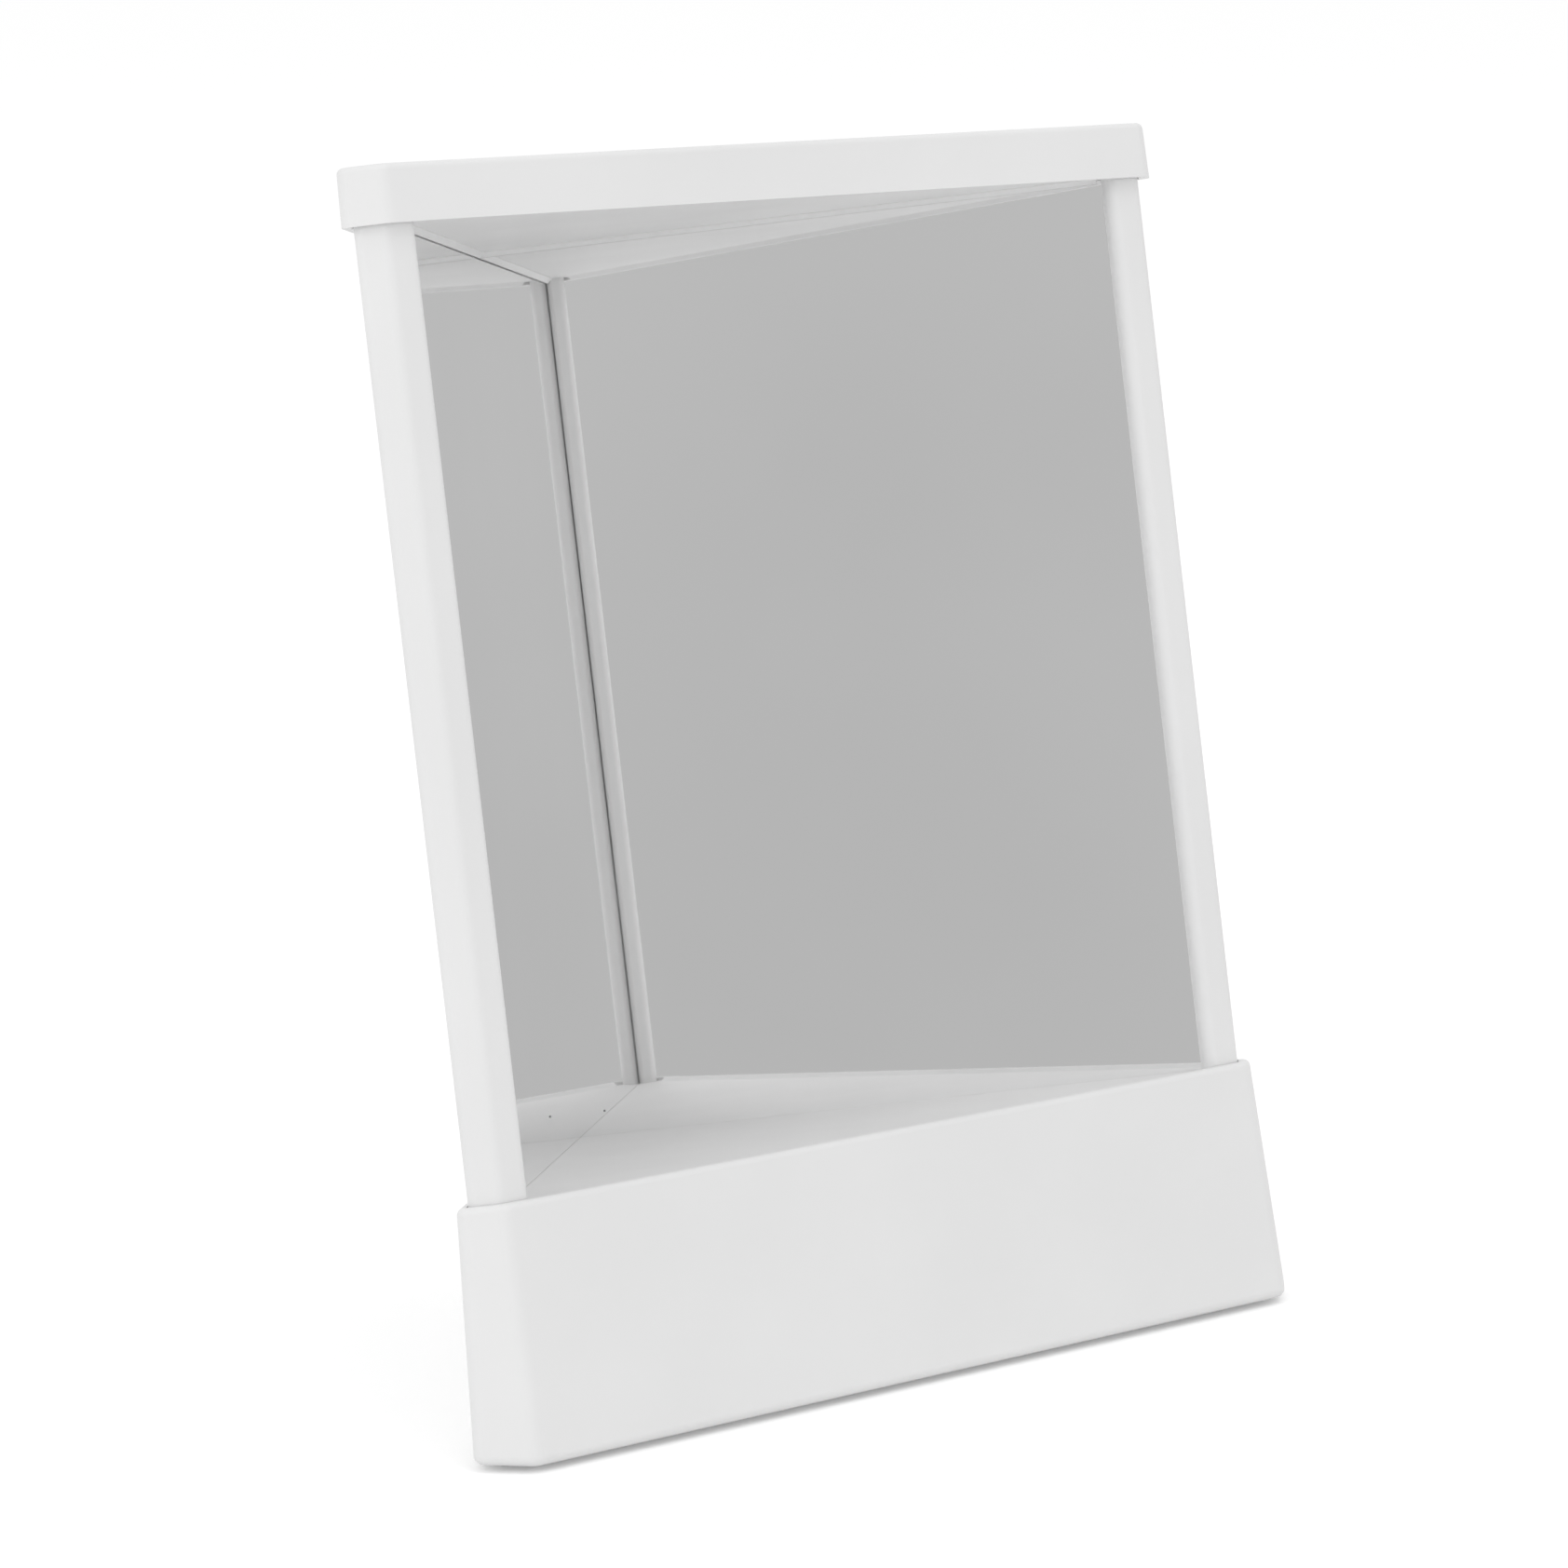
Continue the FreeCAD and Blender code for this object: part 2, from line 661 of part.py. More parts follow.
def make_pieces():
    pieces = [make_base_shell(), make_base_cover(), make_cover_screws()]
    for label, place in foot_places.items():
        pieces.append(make_foot(label, place))
    pieces.append(make_ballast("ballast_tape", cover_top, "Size.ballast_tape_margin", "Size.ballast_tape"))
    pieces.append(make_ballast("ballast_plate", ballast_bottom, "0", "Size.ballast_thickness"))
    pieces.append(make_rear_housing())
    pieces.append(make_post_screws())
    outer_strip = "(Size.pane_width - Size.tape_inset - Size.tape_width)"
    for hand, side in (("left", -1), ("right", 1)):
        pieces.append(make_mirror_pane(f"{hand}_mirror_pane", side))
        pieces.append(make_pane_tape(f"{hand}_inner_tape", side, "Size.tape_inset"))
        pieces.append(make_pane_tape(f"{hand}_outer_tape", side, outer_strip))
    pieces.append(make_ceiling_plate())
    pieces.append(make_ceiling_screws())
    pieces.append(make_cap_shell())
    return pieces


def stand_up(pieces):
    # Lean all pieces back, then set the feet on the table with the origin under the middle
    lean = FreeCAD.Rotation(FreeCAD.Vector(1, 0, 0), -number("Size.lean"))
    for piece in pieces:
        piece.Placement = FreeCAD.Placement(FreeCAD.Vector(), lean)
    doc.recompute()
    box = Part.makeCompound([piece.Shape for piece in pieces]).optimalBoundingBox(False)
    shift = FreeCAD.Vector(0, -(box.YMin + box.YMax) / 2, -box.ZMin)
    for piece in pieces:
        piece.Placement = FreeCAD.Placement(shift, lean)
    doc.recompute()
    print(f"shift {shift.y:.4f} {shift.z:.4f} size {box.XLength:.3f} {box.YLength:.3f} {box.ZLength:.3f}")


def check(pieces):
    for item in doc.Objects:
        if "Invalid" in item.State or "Error" in item.State:
            raise RuntimeError(f"{item.Label} failed: {item.State}")
    for piece in pieces:
        if piece.Shape.isNull() or not piece.Shape.isValid():
            raise RuntimeError(f"{piece.Label} has no valid shape")


pieces = make_pieces()
stand_up(pieces)
check(pieces)
os.makedirs("parts", exist_ok=True)
for piece in pieces:
    piece.Shape.exportStep(f"parts/{piece.Label}.step")
    print(f"{piece.Label}: {len(piece.Shape.Solids)} solid(s), {piece.Shape.Volume:.0f} cubic mm")
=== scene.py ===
import json
import math

import bmesh
import bpy
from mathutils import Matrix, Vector

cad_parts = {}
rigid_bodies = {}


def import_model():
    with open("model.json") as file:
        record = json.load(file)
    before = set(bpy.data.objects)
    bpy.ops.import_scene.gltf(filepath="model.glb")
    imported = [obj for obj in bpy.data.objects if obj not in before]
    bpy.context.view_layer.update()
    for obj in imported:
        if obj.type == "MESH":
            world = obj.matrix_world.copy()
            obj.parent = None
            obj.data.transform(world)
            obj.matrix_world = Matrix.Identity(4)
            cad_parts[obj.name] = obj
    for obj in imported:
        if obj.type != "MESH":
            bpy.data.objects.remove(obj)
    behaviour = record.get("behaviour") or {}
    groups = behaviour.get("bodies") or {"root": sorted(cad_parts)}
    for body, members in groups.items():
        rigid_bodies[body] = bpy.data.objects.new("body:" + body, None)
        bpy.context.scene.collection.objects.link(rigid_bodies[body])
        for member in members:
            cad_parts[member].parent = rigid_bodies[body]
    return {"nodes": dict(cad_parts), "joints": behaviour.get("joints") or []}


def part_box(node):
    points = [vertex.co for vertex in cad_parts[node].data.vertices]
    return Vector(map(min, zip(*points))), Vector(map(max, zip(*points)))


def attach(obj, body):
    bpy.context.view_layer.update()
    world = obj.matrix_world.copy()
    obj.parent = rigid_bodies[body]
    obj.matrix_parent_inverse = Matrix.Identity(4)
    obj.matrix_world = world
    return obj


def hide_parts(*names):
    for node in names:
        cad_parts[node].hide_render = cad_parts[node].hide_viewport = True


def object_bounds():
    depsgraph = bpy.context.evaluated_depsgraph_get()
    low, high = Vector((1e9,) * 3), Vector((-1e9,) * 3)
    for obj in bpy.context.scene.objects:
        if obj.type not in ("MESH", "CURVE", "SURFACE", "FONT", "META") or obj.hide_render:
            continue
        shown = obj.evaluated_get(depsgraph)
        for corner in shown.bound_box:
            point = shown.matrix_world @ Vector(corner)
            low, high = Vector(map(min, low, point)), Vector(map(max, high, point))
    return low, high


for leftover in list(bpy.data.objects):
    bpy.data.objects.remove(leftover)  # the start-up cube, lamp and camera
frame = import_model()
cadLow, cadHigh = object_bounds()
nodes = frame["nodes"]

# The case leans back, and the cap lifts along the case
caseUp = Vector(frame["joints"][0]["axis"]).normalized()
caseRight = Vector((1, 0, 0))
caseBack = caseUp.cross(caseRight)
tableUp = Vector((0, 0, 1))
print(f"frame: {len(nodes)} nodes, the case leans {math.degrees(caseUp.angle(tableUp)):.1f} degrees")


# Small helpers for node trees
def feed(tree, socket, value):
    if isinstance(value, bpy.types.NodeSocket):
        tree.links.new(value, socket)
    else:
        socket.default_value = value


def addNode(tree, kind, inputs=None, **settings):
    node = tree.nodes.new(kind)
    for name, value in settings.items():
        setattr(node, name, value)
    for name, value in (inputs or {}).items():
        feed(tree, node.inputs[name], value)
    return node


def doMath(tree, operation, *values):
    node = addNode(tree, "ShaderNodeMath", operation=operation)
    for socket, value in zip(node.inputs, values):
        feed(tree, socket, value)
    return node.outputs[0]


def mapRange(tree, value, low, high, newLow, newHigh, smooth=False):
    style = "SMOOTHSTEP" if smooth else "LINEAR"
    node = addNode(tree, "ShaderNodeMapRange", interpolation_type=style)
    for socket, number in zip(node.inputs, (value, low, high, newLow, newHigh)):
        feed(tree, socket, number)
    return node.outputs[0]


def mixColours(tree, share, first, second):
    node = addNode(tree, "ShaderNodeMix", data_type="RGBA")
    feed(tree, node.inputs[0], share)
    for index, colour in ((6, first), (7, second)):
        feed(tree, node.inputs[index], colour)
    return node.outputs[2]


def grey(level, tint=0.0):
    return (level, level, level * (1 - tint), 1)


def newGroup(name, kind, inputs, outputs):
    group = bpy.data.node_groups.new(name, kind)
    for label, socketType, value in inputs:
        socket = group.interface.new_socket(label, in_out="INPUT", socket_type=socketType)
        if value is not None:
            socket.default_value = value
    for label, socketType in outputs:
        group.interface.new_socket(label, in_out="OUTPUT", socket_type=socketType)
    given = group.nodes.new("NodeGroupInput").outputs
    result = group.nodes.new("NodeGroupOutput").inputs
    return group, given, result


def useGroup(tree, group, **values):
    node = addNode(tree, "ShaderNodeGroup", node_tree=group)
    for name, value in values.items():
        feed(tree, node.inputs[name], value)
    return node.outputs


# Shared effects, each built once
def buildMouldedSkin():
    # Grain and slow ripples of a moulded surface, and a cloud for its tone
    group, given, result = newGroup("mouldedSkin", "ShaderNodeTree", [
        ("Place", "NodeSocketVector", None),
        ("Grain", "NodeSocketFloat", 2400.0),
        ("Ripple", "NodeSocketFloat", 220.0),
        ("Cloud", "NodeSocketFloat", 24.0),
        ("Grain Share", "NodeSocketFloat", 0.3),
    ], [("Height", "NodeSocketFloat"), ("Tone", "NodeSocketFloat")])
    layers = {}
    for name, detail in (("Grain", 2.0), ("Ripple", 3.0), ("Cloud", 4.0)):
        inputs = {"Vector": given["Place"], "Scale": given[name], "Detail": detail}
        layers[name] = addNode(group, "ShaderNodeTexNoise", inputs).outputs[0]
    grain = doMath(group, "MULTIPLY", layers["Grain"], given["Grain Share"])
    group.links.new(doMath(group, "ADD", grain, layers["Ripple"]), result["Height"])
    group.links.new(mapRange(group, layers["Cloud"], 0.3, 0.7, 0.0, 1.0, True), result["Tone"])
    return group


def buildDustSpecks():
    # Scattered specks: a few cells hold one, each of its own size
    group, given, result = newGroup("dustSpecks", "ShaderNodeTree", [
        ("Place", "NodeSocketVector", None),
        ("Cells", "NodeSocketFloat", 60.0),
        ("Share", "NodeSocketFloat", 0.2),
        ("Size", "NodeSocketFloat", 0.06),
    ], [("Mask", "NodeSocketFloat")])
    cells = addNode(group, "ShaderNodeTexVoronoi", {"Vector": given["Place"], "Scale": given["Cells"]})
    parts = addNode(group, "ShaderNodeSeparateColor", {"Color": cells.outputs["Color"]}).outputs
    present = doMath(group, "LESS_THAN", parts[0], given["Share"])
    reach = doMath(group, "MULTIPLY", given["Size"], mapRange(group, parts[1], 0, 1, 0.4, 1.0))
    depth = doMath(group, "SUBTRACT", reach, cells.outputs["Distance"])
    spot = mapRange(group, doMath(group, "DIVIDE", depth, reach), 0.0, 0.5, 0.0, 1.0, True)
    group.links.new(doMath(group, "MULTIPLY", spot, present), result["Mask"])
    return group


def buildBrushedLines():
    # Fine lines along one direction, with patches
    group, given, result = newGroup("brushedLines", "ShaderNodeTree", [
        ("Place", "NodeSocketVector", None),
        ("Lines", "NodeSocketFloat", 5000.0),
        ("Patches", "NodeSocketFloat", 120.0),
    ], [("Height", "NodeSocketFloat"), ("Tone", "NodeSocketFloat")])
    drawn = addNode(group, "ShaderNodeMapping", {"Vector": given["Place"], "Scale": (0.03, 1.0, 1.0)})
    lines = {"Vector": drawn.outputs[0], "Scale": given["Lines"], "Detail": 3.0}
    group.links.new(addNode(group, "ShaderNodeTexNoise", lines).outputs[0], result["Height"])
    patches = {"Vector": given["Place"], "Scale": given["Patches"], "Detail": 4.0}
    tone = addNode(group, "ShaderNodeTexNoise", patches).outputs[0]
    group.links.new(mapRange(group, tone, 0.35, 0.65, 0.0, 1.0, True), result["Tone"])
    return group


mouldedSkin = buildMouldedSkin()
dustSpecks = buildDustSpecks()
brushedLines = buildBrushedLines()
print("shared effects: moulded skin, dust specks, brushed lines")


# Finishes
def newFinish(name):
    material = bpy.data.materials.new(name)
    material.use_nodes = True
    tree = material.node_tree
    skin = tree.nodes["Principled BSDF"]
    place = addNode(tree, "ShaderNodeTexCoord").outputs
    return material, tree, skin, place


def addBump(tree, skin, height, distance):
    bump = addNode(tree, "ShaderNodeBump", {"Height": height, "Distance": distance, "Strength": 1.0})
    tree.links.new(bump.outputs[0], skin.inputs["Normal"])


whitePlastic = {
    "light": 0.800,
    "deep": 0.775,
    "speck": 0.36,
    "gloss": (0.48, 0.58),
    "rippleHeight": 0.0000025,
    "specks": {"Cells": 90.0, "Share": 0.04, "Size": 0.035},
}


def makeWhitePlastic():
    material, tree, skin, place = newFinish("whitePlastic")
    surface = useGroup(tree, mouldedSkin, Place=place["Object"])
    specks = useGroup(tree, dustSpecks, Place=place["Object"], **whitePlastic["specks"])
    tone = mixColours(tree, surface["Tone"], grey(whitePlastic["light"]), grey(whitePlastic["deep"]))
    colour = mixColours(tree, specks["Mask"], tone, grey(whitePlastic["speck"], 0.03))
    tree.links.new(colour, skin.inputs["Base Color"])
    tree.links.new(mapRange(tree, surface["Tone"], 0, 1, *whitePlastic["gloss"]), skin.inputs["Roughness"])
    addBump(tree, skin, surface["Height"], whitePlastic["rippleHeight"])
    return material


coverPlastic = {
    "light": 0.74,
    "deep": 0.70,
    "gloss": (0.62, 0.74),
    "grainHeight": 0.00004,
    "texture": {"Grain": 1500.0, "Grain Share": 1.5},
}


def makeCoverPlastic():
    material, tree, skin, place = newFinish("coverPlastic")
    surface = useGroup(tree, mouldedSkin, Place=place["Object"], **coverPlastic["texture"])
    light, deep = grey(coverPlastic["light"], 0.01), grey(coverPlastic["deep"], 0.02)
    tone = mixColours(tree, surface["Tone"], light, deep)
    tree.links.new(tone, skin.inputs["Base Color"])
    tree.links.new(mapRange(tree, surface["Tone"], 0, 1, *coverPlastic["gloss"]), skin.inputs["Roughness"])
    addBump(tree, skin, surface["Height"], coverPlastic["grainHeight"])
    return material


mirrorCoat = {
    "silver": 0.95,
    "haze": 0.925,
    "edge": 0.16,
    "gloss": (0.010, 0.028),
    "hazeScale": 14.0,
    "speck": 0.34,
    "speckRough": 0.5,
    "specks": {"Cells": 45.0, "Share": 0.22, "Size": 0.030},
    "paintRough": 0.5,
    "frontCosine": 0.9,
}


def makeMirrorCoat(name, facing):
    # Silver on the face that looks out, dark paint on the edges and the back
    material, tree, skin, place = newFinish(name)
    towards = addNode(tree, "ShaderNodeVectorMath", operation="DOT_PRODUCT")
    tree.links.new(place["Normal"], towards.inputs[0])
    towards.inputs[1].default_value = facing
    front = doMath(tree, "GREATER_THAN", towards.outputs["Value"], mirrorCoat["frontCosine"])
    surface = useGroup(tree, mouldedSkin, Place=place["Object"], Cloud=mirrorCoat["hazeScale"])
    specks = useGroup(tree, dustSpecks, Place=place["Object"], **mirrorCoat["specks"])
    silver = mixColours(tree, surface["Tone"], grey(mirrorCoat["silver"]), grey(mirrorCoat["haze"]))
    dusty = mixColours(tree, specks["Mask"], silver, grey(mirrorCoat["speck"]))
    tree.links.new(mixColours(tree, front, grey(mirrorCoat["edge"]), dusty), skin.inputs["Base Color"])
    tree.links.new(front, skin.inputs["Metallic"])
    smear = mapRange(tree, surface["Tone"], 0, 1, *mirrorCoat["gloss"])
    rough = doMath(tree, "ADD", smear, doMath(tree, "MULTIPLY", specks["Mask"], mirrorCoat["speckRough"]))
    painted = doMath(tree, "MULTIPLY", doMath(tree, "SUBTRACT", 1.0, front), mirrorCoat["paintRough"])
    tree.links.new(doMath(tree, "ADD", rough, painted), skin.inputs["Roughness"])
    return material


foamTape = {
    "light": 0.70,
    "deep": 0.52,
    "pores": 2200.0,
    "poreEdge": (0.1, 0.6),
    "poreDepth": 0.00008,
    "rough": 0.95,
}


def makeFoamTape():
    material, tree, skin, place = newFinish("foamTape")
    pores = addNode(tree, "ShaderNodeTexVoronoi", {"Vector": place["Object"], "Scale": foamTape["pores"]})
    depth = mapRange(tree, pores.outputs["Distance"], *foamTape["poreEdge"], 0.0, 1.0, True)
    tone = mixColours(tree, depth, grey(foamTape["deep"], 0.05), grey(foamTape["light"], 0.03))
    tree.links.new(tone, skin.inputs["Base Color"])
    skin.inputs["Roughness"].default_value = foamTape["rough"]
    addBump(tree, skin, depth, foamTape["poreDepth"])
    return material


steelFinishes = {
    "screwSteel": {"light": 0.66, "deep": 0.50, "gloss": (0.22, 0.38), "lines": 9000.0, "height": 0.000004},
    "ballastSteel": {"light": 0.46, "deep": 0.30, "gloss": (0.38, 0.60), "lines": 3000.0, "height": 0.00002},
}


def makeSteel(name):
    values = steelFinishes[name]
    material, tree, skin, place = newFinish(name)
    lines = useGroup(tree, brushedLines, Place=place["Object"], Lines=values["lines"])
    tone = mixColours(tree, lines["Tone"], grey(values["light"], 0.02), grey(values["deep"], 0.04))
    tree.links.new(tone, skin.inputs["Base Color"])
    tree.links.new(mapRange(tree, lines["Height"], 0.2, 0.8, *values["gloss"]), skin.inputs["Roughness"])
    skin.inputs["Metallic"].default_value = 1.0
    addBump(tree, skin, lines["Height"], values["height"])
    return material


footRubber = {
    "light": 0.042,
    "deep": 0.026,
    "gloss": (0.62, 0.80),
    "grainHeight": 0.00003,
    "texture": {"Grain": 3200.0, "Cloud": 160.0},
}


def makeFootRubber():
    material, tree, skin, place = newFinish("footRubber")
    surface = useGroup(tree, mouldedSkin, Place=place["Object"], **footRubber["texture"])
    tone = mixColours(tree, surface["Tone"], grey(footRubber["light"]), grey(footRubber["deep"]))
    tree.links.new(tone, skin.inputs["Base Color"])
    tree.links.new(mapRange(tree, surface["Tone"], 0, 1, *footRubber["gloss"]), skin.inputs["Roughness"])
    addBump(tree, skin, surface["Height"], footRubber["grainHeight"])
    return material


plasticFinish = makeWhitePlastic()
screwFinish = makeSteel("screwSteel")
rubberFinish = makeFootRubber()
tapeFinish = makeFoamTape()
finishes = {
    "base_shell": plasticFinish,
    "rear_housing": plasticFinish,
    "ceiling_plate": plasticFinish,
    "cap_shell": plasticFinish,
    "base_cover": makeCoverPlastic(),
    "ballast_plate": makeSteel("ballastSteel"),
    "ballast_tape": tapeFinish,
}
diagonal = math.sqrt(0.5)
for hand, side in (("left", -1), ("right", 1)):
    outwards = (-side * caseRight - caseBack) * diagonal  # the way that the pane's mirror face looks
    finishes[f"{hand}_mirror_pane"] = makeMirrorCoat(f"{hand}MirrorCoat", outwards)
    for strip in ("inner", "outer"):
        finishes[f"{hand}_{strip}_tape"] = tapeFinish
for name, finish in finishes.items():
    nodes[name].data.materials.clear()
    nodes[name].data.materials.append(finish)
print(f"finishes: {len(finishes)} nodes dressed")


sharpAngle = math.radians(38)


def finishPiece(mesh, name, material, slot, *stoodFor):
    # Smooth shading with sharp edges kept, then onto the stand in place of its nodes
    mesh.polygons.foreach_set("use_smooth", [True] * len(mesh.polygons))
    mesh.set_sharp_from_angle(angle=sharpAngle)
    mesh.materials.clear()
    mesh.materials.append(material)
    piece = bpy.data.objects.new(name, mesh)
    bpy.context.scene.collection.objects.link(piece)
    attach(piece, "stand")
    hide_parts(*stoodFor)


# Rubber feet: lengths in metres, places along the radius as shares of it
footShape = {
    "edge": 0.0009,
    "edgeSteps": 6,
    "dish": 0.0003,
    "dishTurn": (0.40, 0.4),
    "groove": 0.0004,
    "ring": (0.56, 0.66, 0.70, 0.80),
    "steps": 72,
    "merge": 0.000001,
}


def makeFoot(node, name):
    # A turned pad: rounded lower edge, a ring groove and a slightly hollow middle
    low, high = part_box(node)
    middle = (low + high) / 2
    radius = (high.x - low.x) / 2
    rounding = footShape["edge"]
    turnAway, turnDepth = footShape["dishTurn"]
    profile = [(0, low.z + footShape["dish"]), (radius * turnAway, low.z + footShape["dish"] * turnDepth)]
    for share, lift in zip(footShape["ring"], (0, footShape["groove"], footShape["groove"], 0)):
        profile.append((radius * share, low.z + lift))
    for step in range(footShape["edgeSteps"] + 1):
        angle = math.radians(90 * step / footShape["edgeSteps"])
        away = radius - rounding + rounding * math.sin(angle)
        profile.append((away, low.z + rounding - rounding * math.cos(angle)))
    profile += [(radius, high.z), (0, high.z)]
    shape = bmesh.new()
    corners = [shape.verts.new((middle.x + away, middle.y, height)) for away, height in profile]
    edges = [shape.edges.new(pair) for pair in zip(corners, corners[1:])]
    around = Vector((middle.x, middle.y, 0))
    bmesh.ops.spin(shape, geom=corners + edges, cent=around, axis=tableUp, angle=math.tau,
                   steps=footShape["steps"], use_merge=True)
    bmesh.ops.remove_doubles(shape, verts=shape.verts, dist=footShape["merge"])
    bmesh.ops.recalc_face_normals(shape, faces=shape.faces)
    mesh = bpy.data.meshes.new(name)
    shape.to_mesh(mesh)
    shape.free()
    finishPiece(mesh, name, rubberFinish, "foot_rubber", node)


for place in ("front_left", "front_right", "rear"):
    makeFoot(f"foot_{place}", f"rubber_foot_{place}")
print("feet: three turned rubber pads")


# Screws, as one Geometry Nodes tree
screwSets = {
    "cover_screws": {"drive": tableUp, "head": 0.0012, "shank": 0.0030, "pitch": 0.0012},
    "post_screws": {"drive": caseUp, "head": 0.0015, "shank": 0.0022, "pitch": 0.0009},
    "ceiling_screws": {"drive": -caseUp, "head": 0.0015, "shank": 0.0022, "pitch": 0.0009},
}
# Shares of the head or the shank, counts, and tapers as start, end and the width left
screwShape = {
    "recessSpan": 0.62,
    "recessWidth": 0.15,
    "recessDepth": 0.62,
    "core": 0.72,
    "headMesh": {"Vertices": 48, "Side Segments": 6},
    "headTaper": (0.55, 1.0, 0.88),
    "shankMesh": {"Vertices": 32, "Side Segments": 16},
    "tipTaper": (0.80, 1.0, 0.25),
    "threadShare": 0.84,
    "threadSteps": 20,
    "crestSides": 4,
}
screwSpacing = 0.03  # cells of this width along X tell the screws of a node apart


def buildScrewTree():
    # One screw drawn along +Z with its head's seat at zero, set on every point that comes in
    sizes = ("Head Diameter", "Head Height", "Shank Diameter", "Shank Length", "Thread Pitch",
             "Core Diameter", "Recess Span", "Recess Width", "Recess Depth")
    inputs = [("Points", "NodeSocketGeometry", None)]
    inputs += [(label, "NodeSocketFloat", 0.001) for label in sizes]
    inputs += [("Drive", "NodeSocketVector", None), ("Spin Seed", "NodeSocketInt", 1)]
    inputs += [("Finish", "NodeSocketMaterial", None)]
    tree, given, result = newGroup("crossHeadScrew", "GeometryNodeTree", inputs,
                                   [("Geometry", "NodeSocketGeometry")])

    def halved(label):
        return doMath(tree, "MULTIPLY", given[label], 0.5)

    def moved(geometry, height):
        offset = addNode(tree, "ShaderNodeCombineXYZ", {"Z": height}).outputs[0]
        inputs = {"Geometry": geometry, "Translation": offset}
        return addNode(tree, "GeometryNodeTransform", inputs).outputs[0]

    def narrowed(geometry, height, start, end, least):
        # Draw the shape in round its axis, more and more from start to end
        spot = addNode(tree, "GeometryNodeInputPosition").outputs[0]
        axes = addNode(tree, "ShaderNodeSeparateXYZ", {"Vector": spot}).outputs
        share = doMath(tree, "DIVIDE", axes["Z"], height)
        factor = mapRange(tree, share, start, end, 1.0, least)
        inputs = {"X": doMath(tree, "MULTIPLY", axes["X"], factor),
                  "Y": doMath(tree, "MULTIPLY", axes["Y"], factor), "Z": axes["Z"]}
        place = addNode(tree, "ShaderNodeCombineXYZ", inputs).outputs[0]
        inputs = {"Geometry": geometry, "Position": place}
        return addNode(tree, "GeometryNodeSetPosition", inputs).outputs[0]

    minusHead = doMath(tree, "MULTIPLY", given["Head Height"], -1.0)
    head = addNode(tree, "GeometryNodeMeshCylinder", {
        **screwShape["headMesh"], "Radius": halved("Head Diameter"), "Depth": given["Head Height"]})
    head = moved(head.outputs["Mesh"], doMath(tree, "MULTIPLY", given["Head Height"], -0.5))
    head = narrowed(head, minusHead, *screwShape["headTaper"])

    recess = addNode(tree, "GeometryNodeMeshBoolean", operation="DIFFERENCE")
    tree.links.new(head, recess.inputs["Mesh 1"])
    for label in ("X", "Y"):
        across = "Y" if label == "X" else "X"
        sides = {label: given["Recess Span"], across: given["Recess Width"], "Z": given["Recess Depth"]}
        size = addNode(tree, "ShaderNodeCombineXYZ", sides).outputs[0]
        slot = addNode(tree, "GeometryNodeMeshCube", {"Size": size}).outputs["Mesh"]
        tree.links.new(moved(slot, minusHead), recess.inputs["Mesh 2"])

    shank = addNode(tree, "GeometryNodeMeshCylinder", {
        **screwShape["shankMesh"], "Radius": halved("Core Diameter"), "Depth": given["Shank Length"]})
    shank = moved(shank.outputs["Mesh"], halved("Shank Length"))
    shank = narrowed(shank, given["Shank Length"], *screwShape["tipTaper"])

    run = doMath(tree, "MULTIPLY", given["Shank Length"], screwShape["threadShare"])
    turns = doMath(tree, "DIVIDE", run, given["Thread Pitch"])
    thread = addNode(tree, "GeometryNodeCurveSpiral", {
        "Resolution": screwShape["threadSteps"], "Rotations": turns,
        "Start Radius": halved("Core Diameter"), "End Radius": halved("Core Diameter"), "Height": run})
    ridge = doMath(tree, "SUBTRACT", halved("Shank Diameter"), halved("Core Diameter"))
    crest = addNode(tree, "GeometryNodeCurvePrimitiveCircle", {
        "Resolution": screwShape["crestSides"], "Radius": ridge})
    thread = addNode(tree, "GeometryNodeCurveToMesh", {
        "Curve": thread.outputs["Curve"], "Profile Curve": crest.outputs["Curve"],
        "Fill Caps": True}).outputs[0]

    whole = addNode(tree, "GeometryNodeJoinGeometry")
    for piece in (recess.outputs["Mesh"], shank, thread):
        tree.links.new(piece, whole.inputs[0])
    turned = addNode(tree, "FunctionNodeAlignEulerToVector", {"Vector": given["Drive"]}, axis="Z").outputs[0]
    spin = addNode(tree, "FunctionNodeRandomValue", {"Min": 0.0, "Max": math.tau, "Seed": given["Spin Seed"]},
                   data_type="FLOAT")
    spun = addNode(tree, "ShaderNodeCombineXYZ").inputs["Z"]
    tree.links.new([output for output in spin.outputs if output.enabled][0], spun)
    turn = addNode(tree, "FunctionNodeRotateEuler", {"Rotation": turned, "Rotate By": spun.node.outputs[0]},
                   rotation_type="EULER", space="LOCAL").outputs[0]
    placed = addNode(tree, "GeometryNodeInstanceOnPoints", {
        "Points": given["Points"], "Instance": whole.outputs[0], "Rotation": turn})
    real = addNode(tree, "GeometryNodeRealizeInstances", {"Geometry": placed.outputs[0]})
    dressed = addNode(tree, "GeometryNodeSetMaterial", {
        "Geometry": real.outputs[0], "Material": given["Finish"]})
    tree.links.new(dressed.outputs[0], result["Geometry"])
    return tree


def setInputs(modifier, values):
    for item in modifier.node_group.interface.items_tree:
        if item.item_type == "SOCKET" and item.in_out == "INPUT" and item.name in values:
            modifier[item.identifier] = values[item.name]


